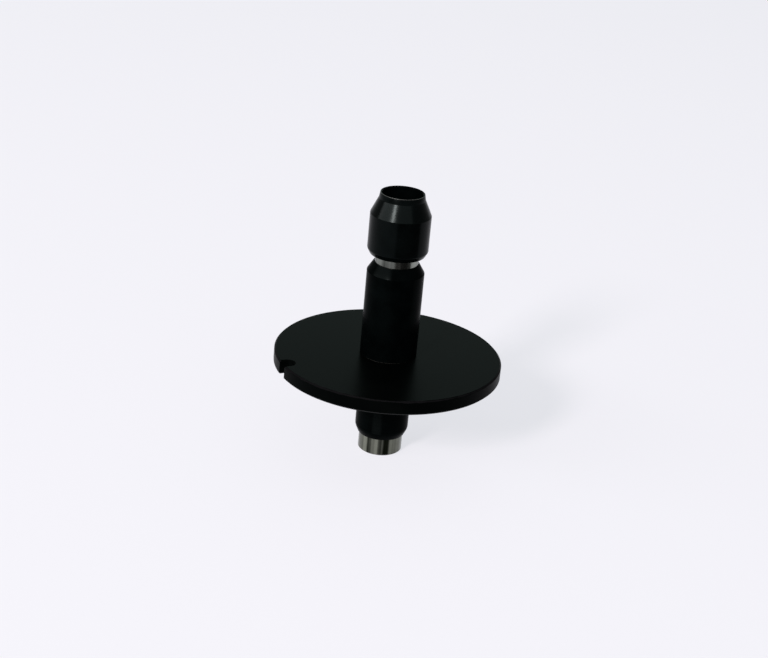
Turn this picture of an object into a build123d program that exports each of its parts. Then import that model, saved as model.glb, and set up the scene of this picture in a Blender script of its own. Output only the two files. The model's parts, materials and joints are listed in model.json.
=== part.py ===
"""Pick-up nozzle for a surface-mount placement machine, with a sprung suction tip.

The nozzle stands upright on its tip. The origin is the centre of the tip's end face and
+Z runs up the turning axis, out of the mouth. The disc's index notch faces -X and the
guide pin +X. Air is drawn up one straight passage: the tip, the spring, the body's web,
the neck tube and the head's mouth. All sizes are in millimetres.
"""

import math
import os

from build123d import *

# Suction tip: a ground steel tube that slides up into the body.
tip_diameter = 7.0
tip_wall = 1.0
tip_projection = 2.9  # shows below the body at rest
tip_insertion = 15.6  # lies inside the body at rest
tip_travel = 2.0
tip_clearance = 0.02  # running fit, on the radius
tip_edge_break = 0.15  # round the end face, inside and out

# Buffer spring: round wire, closed and ground flat at both ends.
spring_length = 6.3  # between its seats at rest
spring_wire = 0.45
spring_clearance = 0.25  # to the body's bore, on the radius
spring_flat_count = 10  # the round wire is drawn with this many flats, to keep it light
spring_point_count = 8  # points a turn along the wire's path
spring_active_turns = 4.0
spring_closed_turns = 1.0  # at each end
spring_closed_gap = 0.04  # between neighbouring closed turns
spring_end_gap = 0.02  # above the tip's upper end

# Guide pin: a dowel in the body's wall that holds the tip in and stops it turning.
pin_diameter = 1.0
pin_bore_margin = 0.15  # the pin's inner end stays this far inside the tip's wall
pin_sink = 0.06  # its outer end stays this far under the disc's seat
slot_clearance = 0.05  # round the pin, on each side

# Body: a turned shank above the disc, the disc's seat, and a stub below it.
stub_wall = 0.73
stub_length = 11.4  # from the stub's end to the disc's underside
stub_end_taper = 0.5  # on the radius
stub_end_taper_height = 1.1
stub_end_rounding = 1.4
disc_shoulder = 0.25  # the shank stands this far out over the disc's seat
shank_length = 15.35  # above the disc
shank_foot_chamfer = 0.12
shank_top_land = 0.15  # flat ring left round the neck tube
shank_top_taper_height = 1.5
web_thickness = 1.0  # between the spring and the neck tube

# Background disc.
disc_diameter = 36.0
disc_thickness = 2.3
disc_edge_chamfer = 0.25
notch_width = 2.0
notch_depth = 2.0

# Neck tube: steel, pressed into the body and the head.
neck_diameter = 6.84
neck_wall = 0.92
neck_edge_break = 0.1
groove_height = 1.4  # bare neck between the body and the head

# Retaining head: a turned collar that the placement head grips.
head_wall = 1.33  # round the neck tube
head_base_taper = 0.45  # on the radius
head_base_height = 1.4
head_base_rounding = 3.0
head_grip_height = 5.05
head_cone_height = 2.5
head_lip_height = 0.9
head_lip_flare = 0.16  # on the radius, from the rim down to the cone
mouth_depth = 5.0
mouth_ledge = 0.22  # stops the neck tube
rim_wall = 0.24
mouth_chamfer = 0.15  # inside the rim, leads the air pipe in

# Radii, from the tip outwards.
tip_radius = tip_diameter / 2
air_radius = tip_radius - tip_wall
bore_radius = tip_radius + tip_clearance
seat_radius = bore_radius + stub_wall
shank_radius = seat_radius + disc_shoulder
disc_radius = disc_diameter / 2
spring_radius = bore_radius - spring_clearance - spring_wire / 2
pin_radius = pin_diameter / 2
neck_radius = neck_diameter / 2
head_radius = neck_radius + head_wall
mouth_radius = neck_radius - mouth_ledge
rim_radius = mouth_radius + rim_wall

# Heights, from the tip's end face upwards.
stub_end_z = tip_projection
tip_top_z = stub_end_z + tip_insertion
spring_seat_z = tip_top_z + spring_length
web_top_z = spring_seat_z + web_thickness
disc_under_z = stub_end_z + stub_length
disc_top_z = disc_under_z + disc_thickness
pin_z = (disc_under_z + disc_top_z) / 2
shank_top_z = disc_top_z + shank_length
head_base_z = shank_top_z + groove_height
grip_base_z = head_base_z + head_base_height
grip_top_z = grip_base_z + head_grip_height
lip_base_z = grip_top_z + head_cone_height
head_top_z = lip_base_z + head_lip_height
neck_top_z = head_top_z - mouth_depth


def turned(*corners):
    """Turn a half section about Z. Each corner is its radius, height and rounding."""
    with BuildPart() as piece:
        with BuildSketch(Plane.XZ):
            with BuildLine():
                FilletPolyline(
                    *[(radius, height) for radius, height, _ in corners],
                    radius=[rounding for _, _, rounding in corners],
                    close=True,
                )
            make_face()
        revolve(axis=Axis.Z)
    return piece.part


def make_retaining_head():
    """Collar with a cylindrical grip, a cone and a thin lip round the open mouth."""
    return turned(
        (neck_radius, head_base_z, 0),
        (head_radius - head_base_taper, head_base_z, 0),
        (head_radius, grip_base_z, head_base_rounding),
        (head_radius, grip_top_z, 0),
        (rim_radius + head_lip_flare, lip_base_z, 0),
        (rim_radius, head_top_z, 0),
        (mouth_radius + mouth_chamfer, head_top_z, 0),
        (mouth_radius, head_top_z - mouth_chamfer, 0),
        (mouth_radius, neck_top_z, 0),
        (neck_radius, neck_top_z, 0),
    )


def make_neck_tube():
    """Plain tube from the body's web up to the ledge in the head."""
    bore = neck_radius - neck_wall
    neck = turned(
        (bore, web_top_z, 0),
        (neck_radius, web_top_z, 0),
        (neck_radius, neck_top_z, 0),
        (bore, neck_top_z, 0),
    )
    ends = neck.edges().filter_by(GeomType.CIRCLE).filter_by(
        lambda edge: edge.radius > bore + neck_wall / 2
    )
    return chamfer(ends, neck_edge_break)


def make_shank():
    """Body turned in one piece, bored from both ends to leave a web for the spring."""
    body = turned(
        (bore_radius, stub_end_z, 0),
        (seat_radius - stub_end_taper, stub_end_z, 0),
        (seat_radius, stub_end_z + stub_end_taper_height, stub_end_rounding),
        (seat_radius, disc_top_z, 0),
        (shank_radius - shank_foot_chamfer, disc_top_z, 0),
        (shank_radius, disc_top_z + shank_foot_chamfer, 0),
        (shank_radius, shank_top_z - shank_top_taper_height, 0),
        (neck_radius + shank_top_land, shank_top_z, 0),
        (neck_radius, shank_top_z, 0),
        (neck_radius, web_top_z, 0),
        (air_radius, web_top_z, 0),
        (air_radius, spring_seat_z, 0),
        (bore_radius, spring_seat_z, 0),
    )
    return body - pin_cylinder(0, shank_radius)


def make_background_disc():
    """Thin disc with one round-ended notch. Its whole outline is chamfered on both faces."""
    notch_radius = notch_width / 2
    notch_end_x = disc_radius - notch_depth + notch_radius
    with BuildPart() as disc:
        with BuildSketch(Plane.XY.offset(disc_under_z)):
            Circle(disc_radius)
            with Locations((-notch_end_x, 0)):
                Circle(notch_radius, mode=Mode.SUBTRACT)
                Rectangle(
                    disc_radius,
                    notch_width,
                    align=(Align.MAX, Align.CENTER),
                    mode=Mode.SUBTRACT,
                )
        extrude(amount=disc_thickness)
        chamfer(disc.faces().filter_by(Axis.Z).edges(), disc_edge_chamfer)
        with BuildSketch(Plane.XY.offset(disc_under_z)):
            Circle(seat_radius)
        extrude(amount=disc_thickness, mode=Mode.SUBTRACT)
    return disc.part


def make_suction_tip():
    """Tube with a flat end face and a slot in its wall that rides on the guide pin."""
    tube = turned(
        (air_radius, 0, 0),
        (tip_radius, 0, 0),
        (tip_radius, tip_top_z, 0),
        (air_radius, tip_top_z, 0),
    )
    end_face_edges = tube.edges().group_by(Axis.Z)[0]
    tube = chamfer(end_face_edges, tip_edge_break)
    slot_width = pin_diameter + 2 * slot_clearance
    with BuildPart() as slot:
        with BuildSketch(Plane.YZ):
            with Locations((0, pin_z - tip_travel / 2)):
                SlotCenterToCenter(tip_travel, slot_width, rotation=90)
        extrude(amount=shank_radius)
    return tube - slot.part


def pin_cylinder(inner, outer):
    """Cylinder of the guide pin's diameter along +X between two distances from the axis."""
    start = Plane(origin=(inner, 0, pin_z), z_dir=(1, 0, 0))
    return extrude(start * Circle(pin_radius), outer - inner)


def make_guide_pin():
    """Dowel that reaches into the tip's slot and is covered by the disc."""
    return pin_cylinder(air_radius + pin_bore_margin, seat_radius - pin_sink)


def make_buffer_spring():
    """Compression spring: closed turns at both ends, even turns between, ends ground flat."""
    closed_pitch = spring_wire + spring_closed_gap
    ground_height = spring_length - spring_end_gap
    active_height = ground_height - 2 * spring_closed_turns * closed_pitch
    active_pitch = active_height / spring_active_turns
    turns = spring_active_turns + 2 * spring_closed_turns
    base_z = spring_seat_z - ground_height

    def height(turn):
        below = min(turn, spring_closed_turns)
        above = max(turn - spring_closed_turns - spring_active_turns, 0)
        return base_z + (below + above) * closed_pitch + (turn - below - above) * active_pitch

    steps = round(turns * spring_point_count)
    points = []
    for index in range(steps + 1):
        turn = turns * index / steps
        angle = 2 * math.pi * turn
        x, y = spring_radius * math.cos(angle), spring_radius * math.sin(angle)
        points.append((x, y, height(turn)))
    path = Spline(*points)
    across = Plane(origin=path @ 0, z_dir=path % 0)
    section = across * RegularPolygon(spring_wire / 2, spring_flat_count)
    wire = sweep(section, path=path, is_frenet=True)
    between_seats = Pos(0, 0, base_z) * Cylinder(
        bore_radius, ground_height, align=(Align.CENTER, Align.CENTER, Align.MIN)
    )
    return wire & between_seats


pieces = {
    "retaining_head": make_retaining_head(),
    "neck_tube": make_neck_tube(),
    "shank": make_shank(),
    "background_disc": make_background_disc(),
    "suction_tip": make_suction_tip(),
    "guide_pin": make_guide_pin(),
    "buffer_spring": make_buffer_spring(),
}

os.makedirs("parts", exist_ok=True)
for name, piece in pieces.items():
    piece.label = name
    export_step(piece, f"parts/{name}.step")
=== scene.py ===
"""Looks of a pick-up nozzle for a surface-mount placement machine.

Everything is in metres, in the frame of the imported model: the nozzle stands upright on
its suction tip, with the turning axis on Z and the tip's end face on the floor. The
sections follow the nozzle as it is put together, from the turned body outwards, and end
with the bench it stands on, a black card beside it, the lamps and the camera.
"""

import json
import math

import bpy
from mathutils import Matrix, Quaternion, Vector


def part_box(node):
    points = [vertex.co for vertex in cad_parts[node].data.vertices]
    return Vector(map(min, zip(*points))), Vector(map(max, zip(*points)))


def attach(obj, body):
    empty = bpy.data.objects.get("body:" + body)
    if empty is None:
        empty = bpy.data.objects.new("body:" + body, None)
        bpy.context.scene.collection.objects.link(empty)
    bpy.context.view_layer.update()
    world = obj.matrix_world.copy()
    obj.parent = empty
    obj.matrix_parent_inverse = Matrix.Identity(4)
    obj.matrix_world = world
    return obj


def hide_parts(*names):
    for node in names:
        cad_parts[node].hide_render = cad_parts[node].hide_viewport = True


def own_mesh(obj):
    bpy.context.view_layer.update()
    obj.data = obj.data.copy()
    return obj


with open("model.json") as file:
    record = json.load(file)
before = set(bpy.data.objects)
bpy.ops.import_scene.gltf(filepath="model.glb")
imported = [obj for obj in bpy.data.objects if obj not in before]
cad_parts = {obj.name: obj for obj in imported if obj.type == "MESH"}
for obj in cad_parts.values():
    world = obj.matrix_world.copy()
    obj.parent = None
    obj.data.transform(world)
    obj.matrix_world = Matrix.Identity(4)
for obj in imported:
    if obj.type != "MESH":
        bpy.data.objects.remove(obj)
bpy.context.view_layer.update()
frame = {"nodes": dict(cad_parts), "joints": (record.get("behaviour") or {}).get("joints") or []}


# ---------------------------------------------------------------- body
# The body is one steel bar, turned outside, bored from both ends and drilled through its
# wall for the guide pin. A stub below carries the disc and guides the tip, and a plain
# shank rises above it. It is blackened in a hot bath, which leaves a thin satin oxide.

MM = 0.001
shank_low, shank_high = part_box("shank")
disc_low, disc_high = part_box("background_disc")
neck_low, neck_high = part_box("neck_tube")
tip_low, tip_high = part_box("suction_tip")
pin_low, pin_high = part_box("guide_pin")
spring_low, spring_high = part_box("buffer_spring")

disc_shoulder = 0.25 * MM
tip_clearance = 0.02 * MM
tip_wall = 1.0 * MM
shank_radius = shank_high.x
seat_radius = shank_radius - disc_shoulder
body_bore_radius = tip_high.x + tip_clearance
air_radius = tip_high.x - tip_wall
stub_end_taper = 0.5 * MM
stub_end_taper_height = 1.1 * MM
stub_end_rounding = 0.3 * MM
shank_foot_chamfer = 0.12 * MM
shank_top_taper_height = 1.5 * MM
shank_top_land = 0.15 * MM
edge_break = 0.05 * MM
turned_segments = 160
cutter_segments = 64
weld_distance = 0.0001 * MM
same_place = 0.002 * MM


def select_where(piece, chosen):
    """In edit mode, selects the edges between vertices whose position is chosen."""
    bpy.ops.mesh.select_mode(type="VERT")
    bpy.ops.mesh.select_all(action="DESELECT")
    bpy.ops.object.mode_set(mode="OBJECT")
    for vertex in piece.data.vertices:
        vertex.select = chosen(vertex.co)
    bpy.ops.object.mode_set(mode="EDIT")
    bpy.ops.mesh.select_mode(type="EDGE")


def open_new(name):
    """Names the primitive just added and opens it in edit mode, selected all over."""
    piece = bpy.context.object
    piece.name = name
    bpy.ops.object.transform_apply(location=True, rotation=True, scale=True)
    bpy.ops.object.mode_set(mode="EDIT")
    bpy.ops.mesh.select_mode(type="EDGE")
    bpy.ops.mesh.select_all(action="SELECT")
    return piece


def turn(name, corners, breaks=()):
    """Turns a closed half section about Z, ring by ring, from (radius, height) corners.
    A break names a corner by its number, with its bevel's width and steps."""
    bpy.ops.object.select_all(action="DESELECT")
    radius, z = corners[0]
    bpy.ops.mesh.primitive_circle_add(
        vertices=turned_segments, radius=radius, location=(0, 0, z)
    )
    piece = open_new(name)
    for next_radius, next_z in corners[1:] + corners[:1]:
        bpy.ops.mesh.extrude_edges_move(
            TRANSFORM_OT_translate={"value": (0, 0, next_z - z)}
        )
        growth = next_radius / radius
        bpy.ops.transform.resize(
            value=(growth, growth, 1), center_override=(0, 0, next_z)
        )
        radius, z = next_radius, next_z
    bpy.ops.mesh.select_all(action="SELECT")
    bpy.ops.mesh.remove_doubles(threshold=weld_distance)
    bpy.ops.mesh.normals_make_consistent(inside=False)
    for corner, width, steps in breaks:
        ring_radius, ring_z = corners[corner]
        select_where(
            piece,
            lambda at: abs(at.z - ring_z) < same_place
            and abs(at.xy.length - ring_radius) < same_place,
        )
        bpy.ops.mesh.bevel(offset=width, segments=steps, affect="EDGES")
    bpy.ops.object.mode_set(mode="OBJECT")
    return piece


def round_cutter(radius, depth, centre, along=(0, 0, 1), reach=None):
    """A round cutter, with along as its own axis. Reach draws it out into a slot: it
    moves the half that lies that way."""
    bpy.ops.object.select_all(action="DESELECT")
    turned_to = Vector(along).to_track_quat("Z", "Y").to_euler()
    bpy.ops.mesh.primitive_cylinder_add(
        vertices=cutter_segments,
        radius=radius,
        depth=depth,
        location=centre,
        rotation=turned_to,
    )
    cutter = open_new("cutter")
    if reach:
        select_where(cutter, lambda at: (at - Vector(centre)).dot(Vector(reach)) > 0)
        bpy.ops.transform.translate(value=reach)
    bpy.ops.object.mode_set(mode="OBJECT")
    return cutter


def cut(piece, cutter):
    """Takes the cutter's volume out of the piece, welds the cut and deletes the cutter."""
    bpy.ops.object.select_all(action="DESELECT")
    bpy.context.view_layer.objects.active = piece
    piece.select_set(True)
    taken = piece.modifiers.new("cut", "BOOLEAN")
    taken.operation = "DIFFERENCE"
    taken.solver = "EXACT"
    taken.object = cutter
    bpy.ops.object.modifier_apply(modifier=taken.name)
    bpy.data.objects.remove(cutter)
    bpy.ops.object.mode_set(mode="EDIT")
    bpy.ops.mesh.select_all(action="SELECT")
    bpy.ops.mesh.remove_doubles(threshold=weld_distance)
    bpy.ops.object.mode_set(mode="OBJECT")


def smooth(piece):
    """Shades the piece smooth. Its broad faces keep their own slope up to the bevels."""
    bpy.ops.object.select_all(action="DESELECT")
    bpy.context.view_layer.objects.active = piece
    piece.select_set(True)
    bpy.ops.object.shade_smooth_by_angle(angle=math.radians(25))
    evened = piece.modifiers.new("even", "WEIGHTED_NORMAL")
    evened.weight = 100
    evened.keep_sharp = True
    bpy.ops.object.modifier_apply(modifier=evened.name)


class Value:
    """Wraps a shader socket. Arithmetic on it adds Math nodes to the same tree."""

    def __init__(self, socket):
        self.socket = socket

    def node(self, kind, settings, inputs):
        """Adds a node of a type, sets it up, fills its sockets, gives its first output."""
        tree = self.socket.id_data
        made = tree.nodes.new("ShaderNode" + kind)
        for name, setting in settings.items():
            setattr(made, name, setting)
        for name, given in inputs.items():
            if isinstance(given, Value):
                tree.links.new(given.socket, made.inputs[name])
            else:
                made.inputs[name].default_value = given
        return Value(made.outputs[0])

    def output(self, name):
        """Another output of the same node."""
        return Value(self.socket.node.outputs[name])

    def feed(self, shader, name):
        """Links this value to a socket of the shader."""
        self.socket.id_data.links.new(self.socket, shader.inputs[name])

    def math(self, operation, first, second):
        return self.node("Math", {"operation": operation}, {0: first, 1: second})

    def __add__(self, other):
        return self.math("ADD", self, other)

    def __radd__(self, other):
        return self.math("ADD", other, self)

    def __sub__(self, other):
        return self.math("SUBTRACT", self, other)

    def __rsub__(self, other):
        return self.math("SUBTRACT", other, self)

    def __mul__(self, other):
        return self.math("MULTIPLY", self, other)

    def __rmul__(self, other):
        return self.math("MULTIPLY", other, self)

    def __truediv__(self, other):
        return self.math("DIVIDE", self, other)

    def __pow__(self, other):
        return self.math("POWER", self, other)

    def rise(self, low, high):
        """Rises smoothly from 0 to 1 as this value goes from low to high."""
        return self.node(
            "MapRange",
            {"interpolation_type": "SMOOTHSTEP"},
            {"Value": self, "From Min": low, "From Max": high},
        )

    def cells(self, across, along=None):
        """These coordinates, with this many cells to a metre, or others along Z."""
        counts = (across, across, along or across)
        return self.node("VectorMath", {"operation": "MULTIPLY"}, {0: self, 1: counts})

    def noise(self, detail, roughness=0.5):
        """Cloudy noise, one cell to each unit of these coordinates, near 0.5."""
        return self.node(
            "TexNoise",
            {},
            {"Vector": self, "Scale": 1, "Detail": detail, "Roughness": roughness},
        )

    def tint(self, low, high):
        """A colour from low to high as this value goes from 0 to 1."""
        low, high = (
            given if isinstance(given, Value) else (*given, 1) for given in (low, high)
        )
        mixed = self.node(
            "Mix", {"data_type": "RGBA"}, {"Factor": self, 6: low, 7: high}
        )
        return Value(mixed.socket.node.outputs[2])

    def bump(self, depth):
        """A surface normal, with this value from 0 to 1 as relief of a depth."""
        return self.node("Bump", {}, {"Height": self, "Distance": depth, "Strength": 1})


def new_material(name, constants):
    """Gives a material, its shader with these constants, and its Object coordinates."""
    material = bpy.data.materials.new(name)
    material.use_nodes = True
    tree = material.node_tree
    shader = tree.nodes["Principled BSDF"]
    for socket, constant in constants.items():
        shader.inputs[socket].default_value = constant
    place = Value(tree.nodes.new("ShaderNodeTexCoord").outputs["Object"])
    return material, shader, place


def round_axis(place):
    """Radius, height, and a direction of unit length that turns with the surface."""
    x = place.node("SeparateXYZ", {}, {"Vector": place})
    y, z = x.output("Y"), x.output("Z")
    radius = (x * x + y * y) ** 0.5
    direction = place.node("CombineXYZ", {}, {"X": x / radius, "Y": y / radius})
    return radius, z, direction


def facing(direction, azimuth, half_width):
    """1 where the surface faces an azimuth in degrees, and 0 from half a width away."""
    turned, wide = math.radians(azimuth), math.radians(half_width)
    beside = direction.node(
        "VectorMath",
        {"operation": "DOT_PRODUCT"},
        {0: direction, 1: (math.sin(turned), -math.cos(turned), 0)},
    )
    return beside.output("Value").rise(math.cos(wide), math.cos(wide / 3))


def turning_lines(radius, z, pitch):
    """Fine rings that a turning tool leaves, one to each pitch, from 0 to 1."""
    rings = radius.node("CombineXYZ", {}, {"X": radius / pitch, "Y": z / pitch})
    return rings.noise(3, 0.6)


def worn(radius, z, edges, width, patches):
    """1 on the worn parts of some turned edges, given as (radius, height), else 0."""
    total = None
    for edge_radius, edge_z in edges:
        away = ((radius - edge_radius) ** 2 + (z - edge_z) ** 2) ** 0.5
        band = 1 - (away + (patches - 0.5) * width * 1.6).rise(width * 0.2, width)
        total = band if total is None else total + band
    return total.rise(0.3, 0.9)


oxide_tint = (0.8, 1, 0.98, 1)
oxide_black = (0.0002, 0.0004, 0.0004)
oxide_grey = (0.0006, 0.0011, 0.0011)
# Colour of the paler bands painted on the body in place of light.
painted_sheen_colour = (0.0043, 0.0058, 0.0056)
worn_steel = (0.06, 0.063, 0.06)
body_turning_pitch = 0.11 * MM
wear_width = 0.09 * MM
# How far the painted sheens fade out at their ends.
painted_sheen_fade = 0.1 * MM


def blackened_steel(name, gloss, roughness, edges, rubs=()):
    """Hot-blackened turned steel, rubbed through to the bare metal along some edges. A
    rub is a paler band painted at an azimuth, in place of light seen there from the
    front, so it stays put when the lamps or the view move. It has its azimuth and half
    width in degrees, its lower and upper height, and its strength."""
    material, shader, place = new_material(
        name, {"Specular IOR Level": gloss, "Specular Tint": oxide_tint}
    )
    radius, z, direction = round_axis(place)
    clouds = place.cells(420).noise(4)
    grain = place.cells(9000).noise(2)
    lines = turning_lines(radius, z, body_turning_pitch)
    bare = worn(radius, z, edges, wear_width, grain * 0.5 + clouds * 0.5)
    shade = (clouds + (lines - 0.5) * 0.5).rise(0.25, 0.75)
    oxide = shade.tint(oxide_black, oxide_grey)
    # Each rub paints a paler band over the oxide: a painted sheen.
    for azimuth, half_width, low_z, high_z, strength in rubs:
        along = z.rise(low_z, low_z + painted_sheen_fade) - z.rise(high_z - painted_sheen_fade, high_z)
        rubbed = facing(direction, azimuth, half_width) * along * strength
        oxide = (rubbed * (lines * 0.8 + 0.6)).tint(oxide, painted_sheen_colour)
    bare.tint(oxide, worn_steel).feed(shader, "Base Color")
    (bare * 0.2).feed(shader, "Metallic")
    (roughness + (clouds - 0.5) * 0.12 + (lines - 0.5) * 0.1).feed(shader, "Roughness")
    (lines * 0.7 + grain * 0.3).bump(0.0012 * MM).feed(shader, "Normal")
    return material


foot_edge = (
    shank_radius - shank_foot_chamfer / 2,
    disc_high.z + shank_foot_chamfer / 2,
)
# Paler bands painted on the body in place of light from the left: one on the shank's top cone,
# one on the stub.
body_painted_sheens = (
    (-57, 25, shank_high.z - shank_top_taper_height, shank_high.z + MM, 0.45),
    (-36, 13, shank_low.z + stub_end_taper_height, disc_low.z, 0.3),
)
body = turn(
    "turned_body",
    [
        (body_bore_radius, shank_low.z),
        (seat_radius - stub_end_taper, shank_low.z),
        (seat_radius, shank_low.z + stub_end_taper_height),
        (seat_radius, disc_high.z),
        (shank_radius - shank_foot_chamfer, disc_high.z),
        (shank_radius, disc_high.z + shank_foot_chamfer),
        (shank_radius, shank_high.z - shank_top_taper_height),
        (neck_high.x + shank_top_land, shank_high.z),
        (neck_high.x, shank_high.z),
        (neck_high.x, neck_low.z),
        (air_radius, neck_low.z),
        (air_radius, spring_high.z),
        (body_bore_radius, spring_high.z),
    ],
    breaks=[
        (1, edge_break, 2),
        (2, stub_end_rounding, 5),
        (6, edge_break, 3),
        (7, edge_break / 2, 2),
    ],
)
pin_centre = (pin_low + pin_high) / 2
cut(
    body,
    round_cutter(
        pin_high.y, pin_high.x, (pin_high.x, 0, pin_centre.z), along=(1, 0, 0)
    ),
)
smooth(body)
body.data.materials.append(
    blackened_steel(
        "blackened body", gloss=0.008, roughness=0.24, edges=[foot_edge], rubs=body_painted_sheens
    )
)
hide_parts("shank")
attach(body, "nozzle_body")


# ---------------------------------------------------------------- guide pin
# A ground steel dowel, pressed into the body's wall and covered by the disc. It reaches
# into the tip's slot, holds the tip in and keeps it from turning.

grinding_pitch = 0.07 * MM


def ground_steel(name, axial, rings, dark, bright, roughness, streaks=()):
    """Ground steel, from a dark to a bright colour. Axial sets how strong the rub marks
    along the axis are, and rings how strong the grinding lines round it are. A streak
    is a band of colour painted down the metal at an azimuth, in place of a reflection
    seen from the front, so it stays put when the lamps or the view move. It has its
    azimuth and half width in degrees and its shade, pale where that is below 0."""
    material, shader, place = new_material(
        name, {"Metallic": 1, "Specular IOR Level": 0.5}
    )
    radius, z, direction = round_axis(place)
    clouds = place.cells(350).noise(3)
    rubs = direction.cells(7).noise(5, 0.65)
    lines = turning_lines(radius, z, grinding_pitch)
    shade = 0.5 + (rubs - 0.5) * axial + (lines - 0.5) * rings + (clouds - 0.5) * 0.3
    for azimuth, half_width, depth in streaks:
        shade = shade - facing(direction, azimuth, half_width) * depth
    shade.rise(0, 1).tint(dark, bright).feed(shader, "Base Color")
    (roughness + (clouds - 0.5) * 0.1 + (rubs - 0.5) * 0.1).feed(shader, "Roughness")
    (rubs * axial * 0.5 + lines * rings).bump(0.001 * MM).feed(shader, "Normal")
    return material


pin = frame["nodes"]["guide_pin"]
pin.material_slots[0].material = ground_steel(
    "ground dowel",
    axial=0.3,
    rings=0.6,
    dark=(0.2, 0.2, 0.19),
    bright=(0.5, 0.5, 0.48),
    roughness=0.25,
)


# ---------------------------------------------------------------- disc
# The disc is the dark ground that the machine's camera sees round a picked part. It is
# sheet aluminium, turned round, notched to index it, chamfered and anodised black, and
# it is pressed on to the body against the shank's shoulder.

disc_radius = disc_high.x
disc_segments = 256
disc_chamfer = 0.25 * MM
notch_width = 2.0 * MM
notch_depth = 2.0 * MM
disc_thickness = disc_high.z - disc_low.z
disc_middle = Vector((0, 0, (disc_low.z + disc_high.z) / 2))
bpy.ops.object.select_all(action="DESELECT")
bpy.ops.mesh.primitive_cylinder_add(
    vertices=disc_segments,
    radius=disc_radius,
    depth=disc_thickness,
    location=disc_middle,
)
disc = open_new("anodised_disc")
bpy.ops.object.mode_set(mode="OBJECT")
notch_end = disc_radius - notch_depth + notch_width / 2
cut(
    disc,
    round_cutter(
        notch_width / 2,
        disc_thickness * 2,
        (-notch_end, 0, disc_middle.z),
        reach=(-notch_depth, 0, 0),
    ),
)
bpy.ops.object.mode_set(mode="EDIT")
for face_z in (disc_low.z, disc_high.z):
    select_where(disc, lambda at: abs(at.z - face_z) < same_place)
    bpy.ops.mesh.bevel(offset=disc_chamfer, segments=1, affect="EDGES")
bpy.ops.object.mode_set(mode="OBJECT")
cut(disc, round_cutter(seat_radius, disc_thickness * 2, disc_middle))
smooth(disc)

anodised_tint = (0.85, 1, 0.95, 1)
dye_black = (0.0002, 0.0004, 0.0004)
dye_grey = (0.0006, 0.0009, 0.0008)
# Paler colour of the worn upper edge, which also paints a highlight line along the chamfer.
worn_dye_and_highlight = (0.003, 0.003, 0.0034)
facing_pitch = 0.1 * MM
disc_wear_width = 0.22 * MM
upper_edge = (disc_radius - disc_chamfer / 2, disc_high.z - disc_chamfer / 2)


def anodised(name, gloss, roughness):
    """Black anodised aluminium over a fine facing cut, paler along its upper chamfer: worn dye
    there, and a painted highlight line.
    """
    material, shader, place = new_material(
        name, {"Specular IOR Level": gloss, "Specular Tint": anodised_tint}
    )
    radius, z, _ = round_axis(place)
    clouds = place.cells(160).noise(4)
    speckle = place.cells(7000).noise(2)
    scuffs = place.cells(700).noise(5, 0.6)
    lines = turning_lines(radius, z, facing_pitch)
    shade = (clouds + (lines - 0.5) * 0.3).rise(0.25, 0.75)
    patches = scuffs * 0.8 + clouds * 0.8 - 0.3
    # The worn band on the upper chamfer is also a painted highlight line along it.
    bare = worn(radius, z, [upper_edge], disc_wear_width, patches)
    bare.tint(shade.tint(dye_black, dye_grey), worn_dye_and_highlight).feed(shader, "Base Color")
    (roughness + (clouds - 0.5) * 0.06 + (lines - 0.5) * 0.06).feed(shader, "Roughness")
    (lines * 0.5 + speckle * 0.5).bump(0.001 * MM).feed(shader, "Normal")
    return material


disc.data.materials.append(anodised("black anodised disc", gloss=0.012, roughness=0.34))
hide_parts("background_disc")
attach(disc, "nozzle_body")


# ---------------------------------------------------------------- suction tip
# The tip is a steel tube, ground outside, with a lapped end face that seals on the part
# it lifts. It slides up in the body against the spring, and a slot in its wall rides on
# the guide pin. Sliding has left rub marks along it.

tip_radius = tip_high.x
tip_edge_break = 0.15 * MM
tip_travel = frame["joints"][0]["range_m"][1]
slot_clearance = 0.05 * MM
# Bands painted down the tip in place of reflections, pale or dark, on the side that faces the
# camera.
tip_painted_reflections = (
    (-68, 9, -0.27),
    (-56, 9, 0.26),
    (-36, 6, -0.18),
    (-25, 8, 0.24),
    (-9.5, 11, 0.46),
    (24, 20, 0.1),
)
tip = turn(
    "sliding_tip",
    [
        (air_radius + tip_edge_break, tip_low.z),
        (tip_radius - tip_edge_break, tip_low.z),
        (tip_radius, tip_low.z + tip_edge_break),
        (tip_radius, tip_high.z),
        (air_radius, tip_high.z),
        (air_radius, tip_low.z + tip_edge_break),
    ],
    breaks=[(3, edge_break, 2)],
)
cut(
    tip,
    round_cutter(
        pin_high.y + slot_clearance,
        tip_radius * 2,
        (tip_radius, 0, pin_centre.z),
        along=(1, 0, 0),
        reach=(0, 0, -tip_travel),
    ),
)
smooth(tip)
# Its finish is rubbed along the axis and carries the painted reflections.
tip.data.materials.append(
    ground_steel(
        "rubbed tip with painted reflections",
        axial=0.5,
        rings=0.15,
        dark=(0.004, 0.005, 0.003),
        bright=(0.255, 0.265, 0.218),
        roughness=0.2,
        streaks=tip_painted_reflections,
    )
)
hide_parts("suction_tip")
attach(tip, "tip")


# ---------------------------------------------------------------- buffer spring
# A compression spring of round steel wire, coiled and oil-tempered, with closed ends
# ground flat. It stands between the tip and the body's web and gives as the tip lands.

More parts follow.
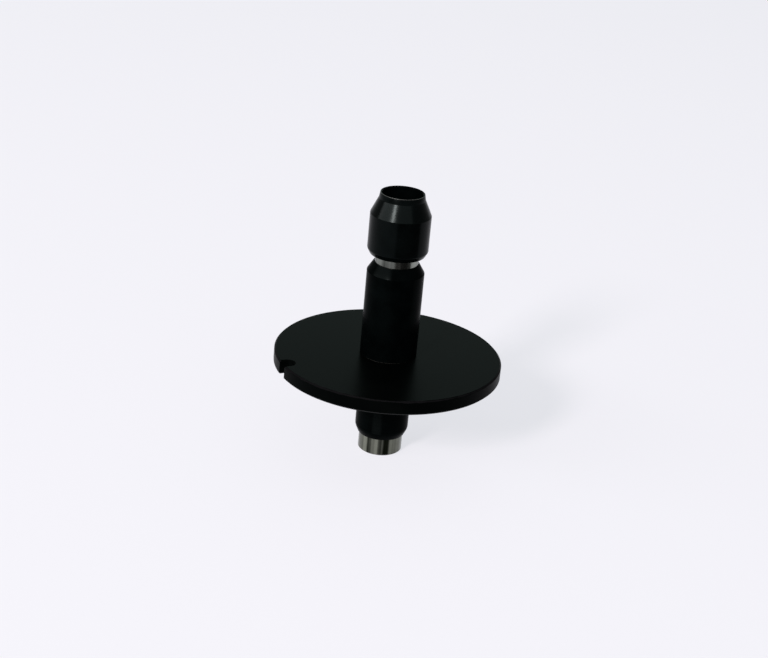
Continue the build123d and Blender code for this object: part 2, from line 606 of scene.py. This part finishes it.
wire_radius = 0.225 * MM
coil_radius = spring_high.x - wire_radius
closed_pitch = 0.49 * MM
active_turns = 4
wire_segments = 20
steps_per_turn = 48
coiled_height = spring_high.z - spring_low.z
active_pitch = (coiled_height - 2 * closed_pitch) / active_turns
coils = []
wire_z = spring_low.z
for turns, pitch in ((1, closed_pitch), (active_turns, active_pitch), (1, closed_pitch)):
    bpy.ops.object.select_all(action="DESELECT")
    bpy.ops.mesh.primitive_circle_add(
        vertices=wire_segments,
        radius=wire_radius,
        location=(coil_radius, 0, wire_z),
        rotation=(math.pi / 2, 0, 0),
    )
    coil = open_new("coil")
    bpy.ops.object.mode_set(mode="OBJECT")
    winding = coil.modifiers.new("wind", "SCREW")
    winding.angle = 2 * math.pi * turns
    winding.screw_offset = pitch * turns
    winding.steps = winding.render_steps = steps_per_turn * turns
    bpy.ops.object.modifier_apply(modifier=winding.name)
    coils.append(coil)
    wire_z += pitch * turns
for coil in coils:
    coil.select_set(True)
bpy.ops.object.join()
spring = bpy.context.object
spring.name = "coil_spring"
bpy.ops.object.mode_set(mode="EDIT")
bpy.ops.mesh.select_all(action="SELECT")
bpy.ops.mesh.remove_doubles(threshold=same_place)
bpy.ops.mesh.select_all(action="DESELECT")
bpy.ops.mesh.select_non_manifold()
bpy.ops.mesh.fill_holes(sides=0)
bpy.ops.mesh.select_all(action="SELECT")
bpy.ops.mesh.normals_make_consistent(inside=False)
bpy.ops.object.mode_set(mode="OBJECT")
for ground_z in (spring_low.z - wire_radius, spring_high.z + wire_radius):
    cut(spring, round_cutter(spring_high.x * 1.2, wire_radius * 2, (0, 0, ground_z)))
smooth(spring)

blue_scale = (0.07, 0.075, 0.09)
straw_scale = (0.2, 0.17, 0.13)


def spring_steel(name):
    """Oil-tempered spring wire: blue to dark straw scale, with fine drawing lines."""
    material, shader, place = new_material(
        name, {"Metallic": 1, "Specular IOR Level": 0.5}
    )
    clouds = place.cells(900).noise(4)
    drawn = place.cells(700, along=5000).noise(4)
    scale = clouds.rise(0.3, 0.7).tint(blue_scale, straw_scale)
    scale.feed(shader, "Base Color")
    (0.3 + (drawn - 0.5) * 0.3).feed(shader, "Roughness")
    drawn.bump(0.002 * MM).feed(shader, "Normal")
    return material


spring.data.materials.append(spring_steel("tempered wire"))
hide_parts("buffer_spring")
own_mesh(spring)
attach(spring, "nozzle_body")


# ---------------------------------------------------------------- neck tube
# A ground steel tube joins the body to the head. It is pressed into both, and its middle
# stays bare as the floor of the groove that the placement head's latch drops into.

neck_wall = 0.92 * MM
neck_radius = neck_high.x
neck_bore_radius = neck_radius - neck_wall
neck_chamfer = 0.1 * MM
# Bands painted down the neck in place of reflections, pale or dark, on the side that faces the
# camera.
neck_painted_reflections = (
    (-104, 18, 0.2),
    (-77, 20, -0.09),
    (-57, 14, 0.15),
    (-6, 12, 0.21),
    (25, 20, -0.26),
    (52, 16, 0.12),
)
neck = turn(
    "neck",
    [
        (neck_bore_radius, neck_low.z),
        (neck_radius - neck_chamfer, neck_low.z),
        (neck_radius, neck_low.z + neck_chamfer),
        (neck_radius, neck_high.z - neck_chamfer),
        (neck_radius - neck_chamfer, neck_high.z),
        (neck_bore_radius, neck_high.z),
    ],
)
smooth(neck)
neck.data.materials.append(
    ground_steel(
        "ground neck",
        axial=0.5,
        rings=0.3,
        dark=(0.01, 0.011, 0.009),
        bright=(0.26, 0.275, 0.25),
        roughness=0.22,
        streaks=neck_painted_reflections,
    )
)
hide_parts("neck_tube")
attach(neck, "nozzle_body")


# ---------------------------------------------------------------- head
# The head is the collar that the placement head grips: a cylinder with a cone and a thin
# lip round the open mouth that the air pipe enters. It is turned from steel, blackened as
# the body is but finer, and pressed on to the neck tube up to a ledge inside.

head_low, head_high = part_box("retaining_head")
head_radius = head_high.x
mouth_ledge = 0.22 * MM
mouth_radius = neck_radius - mouth_ledge
mouth_chamfer = 0.15 * MM
rim_wall = 0.24 * MM
rim_radius = mouth_radius + rim_wall
head_base_taper = 0.45 * MM
head_base_height = 0.8 * MM
head_base_rounding = 0.15 * MM
head_cone_height = 2.5 * MM
head_lip_height = 0.9 * MM
head_lip_flare = 0.16 * MM
rim_rounding = 0.07 * MM
lip_base_z = head_high.z - head_lip_height
grip_top_z = lip_base_z - head_cone_height
head = turn(
    "gripping_head",
    [
        (neck_radius, head_low.z),
        (head_radius - head_base_taper, head_low.z),
        (head_radius, head_low.z + head_base_height),
        (head_radius, grip_top_z),
        (rim_radius + head_lip_flare, lip_base_z),
        (rim_radius, head_high.z),
        (mouth_radius + mouth_chamfer, head_high.z),
        (mouth_radius, head_high.z - mouth_chamfer),
        (mouth_radius, neck_high.z),
        (neck_radius, neck_high.z),
    ],
    breaks=[
        (1, edge_break, 2),
        (2, head_base_rounding, 4),
        (3, edge_break, 3),
        (4, edge_break, 3),
        (5, rim_rounding, 3),
    ],
)
smooth(head)
head.data.materials.append(
    blackened_steel(
        "blackened head", gloss=0.045, roughness=0.22, edges=[(rim_radius, head_high.z)]
    )
)
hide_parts("retaining_head")
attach(head, "nozzle_body")


# ---------------------------------------------------------------- floor
# The nozzle stands on a plain pale bench top. The camera and reflections see mostly its
# even colour, and the rest of it takes the lamps' light and the nozzle's shadow.

bench_radius = 3
bench_colour = (0.862, 0.868, 0.917, 1)
shadow_share = 0.22
bpy.ops.object.select_all(action="DESELECT")
bpy.ops.mesh.primitive_circle_add(vertices=128, radius=bench_radius, fill_type="NGON")
bench = bpy.context.object
bench.name = "bench_top"
bench_material = bpy.data.materials.new("pale bench")
bench_material.use_nodes = True
tree = bench_material.node_tree
tree.nodes.clear()
ray = Value(tree.nodes.new("ShaderNodeLightPath").outputs["Is Camera Ray"])
seen = ray + ray.output("Is Glossy Ray") + ray.output("Is Transmission Ray")
matt = ray.node("BsdfDiffuse", {}, {"Color": bench_colour})
even = ray.node("Emission", {}, {"Color": bench_colour, "Strength": 1})
share = ray.node("Math", {"operation": "MINIMUM"}, {0: seen, 1: 1 - shadow_share})
mixed = ray.node("MixShader", {}, {0: share, 1: matt, 2: even})
surface = tree.nodes.new("ShaderNodeOutputMaterial")
mixed.feed(surface, "Surface")
bench.data.materials.append(bench_material)


# ---------------------------------------------------------------- black card
# A black card lies on the bench to the right of the camera, as is done to give black
# metal its shape: only the nozzle's gloss sees it, and goes dark on that side.

card_near = 45 * MM
card_far = 450 * MM
card_azimuth = 10
card_height = 0.5 * MM
card_black = (0.03, 0.03, 0.03, 1)
bpy.ops.object.select_all(action="DESELECT")
bpy.ops.mesh.primitive_plane_add(
    size=2 * card_near, location=(0, -2 * card_near, card_height)
)
card = open_new("black_card")
select_where(card, lambda at: at.y < -2 * card_near)
bpy.ops.transform.resize(value=(card_far / card_near, 1, 1))
bpy.ops.transform.translate(value=(0, 3 * card_near - card_far, 0))
bpy.ops.object.mode_set(mode="OBJECT")
card.rotation_euler.z = math.radians(card_azimuth)
bpy.ops.object.transform_apply(rotation=True)
card_material = bpy.data.materials.new("black card")
card_material.use_nodes = True
card_shader = card_material.node_tree.nodes["Principled BSDF"]
card_shader.inputs["Base Color"].default_value = card_black
card_shader.inputs["Roughness"].default_value = 0.9
card.data.materials.append(card_material)
card.visible_camera = False
card.visible_diffuse = False
card.visible_transmission = False
card.visible_shadow = False


# ---------------------------------------------------------------- lamps
# Soft lamps in a plain grey room: a broad one at the left, a narrow bright one that draws
# the line on the head's cone, a weak one at the right, and a large weak one at the back
# that the disc's face mirrors. The camera sees the bench's colour past its far edge.

room_colour = (0.4, 0.4, 0.4)
world = bpy.data.worlds.new("studio")
bpy.context.scene.world = world
world.use_nodes = True
room = world.node_tree
camera_ray = Value(room.nodes.new("ShaderNodeLightPath").outputs["Is Camera Ray"])
backdrop = camera_ray.tint(room_colour, bench_colour[:3])
backdrop.feed(room.nodes["Background"], "Color")


def direction_to(azimuth, elevation):
    """Unit vector from the nozzle to a place seen from it. Azimuth 0 is to the front."""
    turned, raised = math.radians(azimuth), math.radians(elevation)
    return Vector(
        (
            math.sin(turned) * math.cos(raised),
            -math.cos(turned) * math.cos(raised),
            math.sin(raised),
        )
    )


lamp_distance = 1.6
white = (1, 1, 1)
pale_rose = (1, 0.94, 0.95)
rose = (1, 0.87, 0.88)
sea_green = (0.61, 1, 0.9)
for name, azimuth, elevation, tilt, width, height, radiance, colour in (
    ("left softbox", -88, 24, 11, 1.74, 0.28, 8.6, pale_rose),
    ("key strip", -56, 29, 0, 0.26, 0.28, 135, rose),
    ("right softbox", -12, 29, 0, 1.9, 0.3, 2, white),
    ("back softbox", 153, 24, 0, 1.6, 1, 0.48, sea_green),
):
    towards = direction_to(azimuth, elevation)
    lamp_data = bpy.data.lights.new(name, "AREA")
    lamp_data.shape = "RECTANGLE"
    lamp_data.size = width
    lamp_data.size_y = height
    lamp_data.energy = radiance * math.pi * width * height
    lamp_data.color = colour
    lamp = bpy.data.objects.new(name, lamp_data)
    bpy.context.scene.collection.objects.link(lamp)
    lamp.location = towards * lamp_distance
    lamp.rotation_mode = "QUATERNION"
    level = towards.to_track_quat("Z", "Y")
    lamp.rotation_quaternion = level @ Quaternion((0, 0, 1), math.radians(tilt))
    lamp.visible_camera = False


# ---------------------------------------------------------------- camera
# The camera looks down on the nozzle from the front left, tilted a little so that the
# nozzle leans to the right.

camera_azimuth = -26.6
camera_elevation = 23.55
camera_tilt = math.radians(5.25)
camera_lens = 77
camera_distance = 0.26
aim_above = 3.92 * MM
aim_left = 0.98 * MM
camera_data = bpy.data.cameras.new("camera")
camera_data.lens = camera_lens
camera_data.clip_start = 0.01
camera = bpy.data.objects.new("camera", camera_data)
bpy.context.scene.collection.objects.link(camera)
bpy.context.scene.camera = camera
back = direction_to(camera_azimuth, camera_elevation)
camera.location = Vector((0, 0, disc_high.z)) + back * camera_distance
left = direction_to(camera_azimuth - 90, 0)
aim = Vector((0, 0, disc_high.z + aim_above)) + left * aim_left
upright = (camera.location - aim).to_track_quat("Z", "Y")
camera.rotation_mode = "QUATERNION"
camera.rotation_quaternion = upright @ Quaternion((0, 0, 1), camera_tilt)
bpy.context.scene.view_settings.view_transform = "Standard"
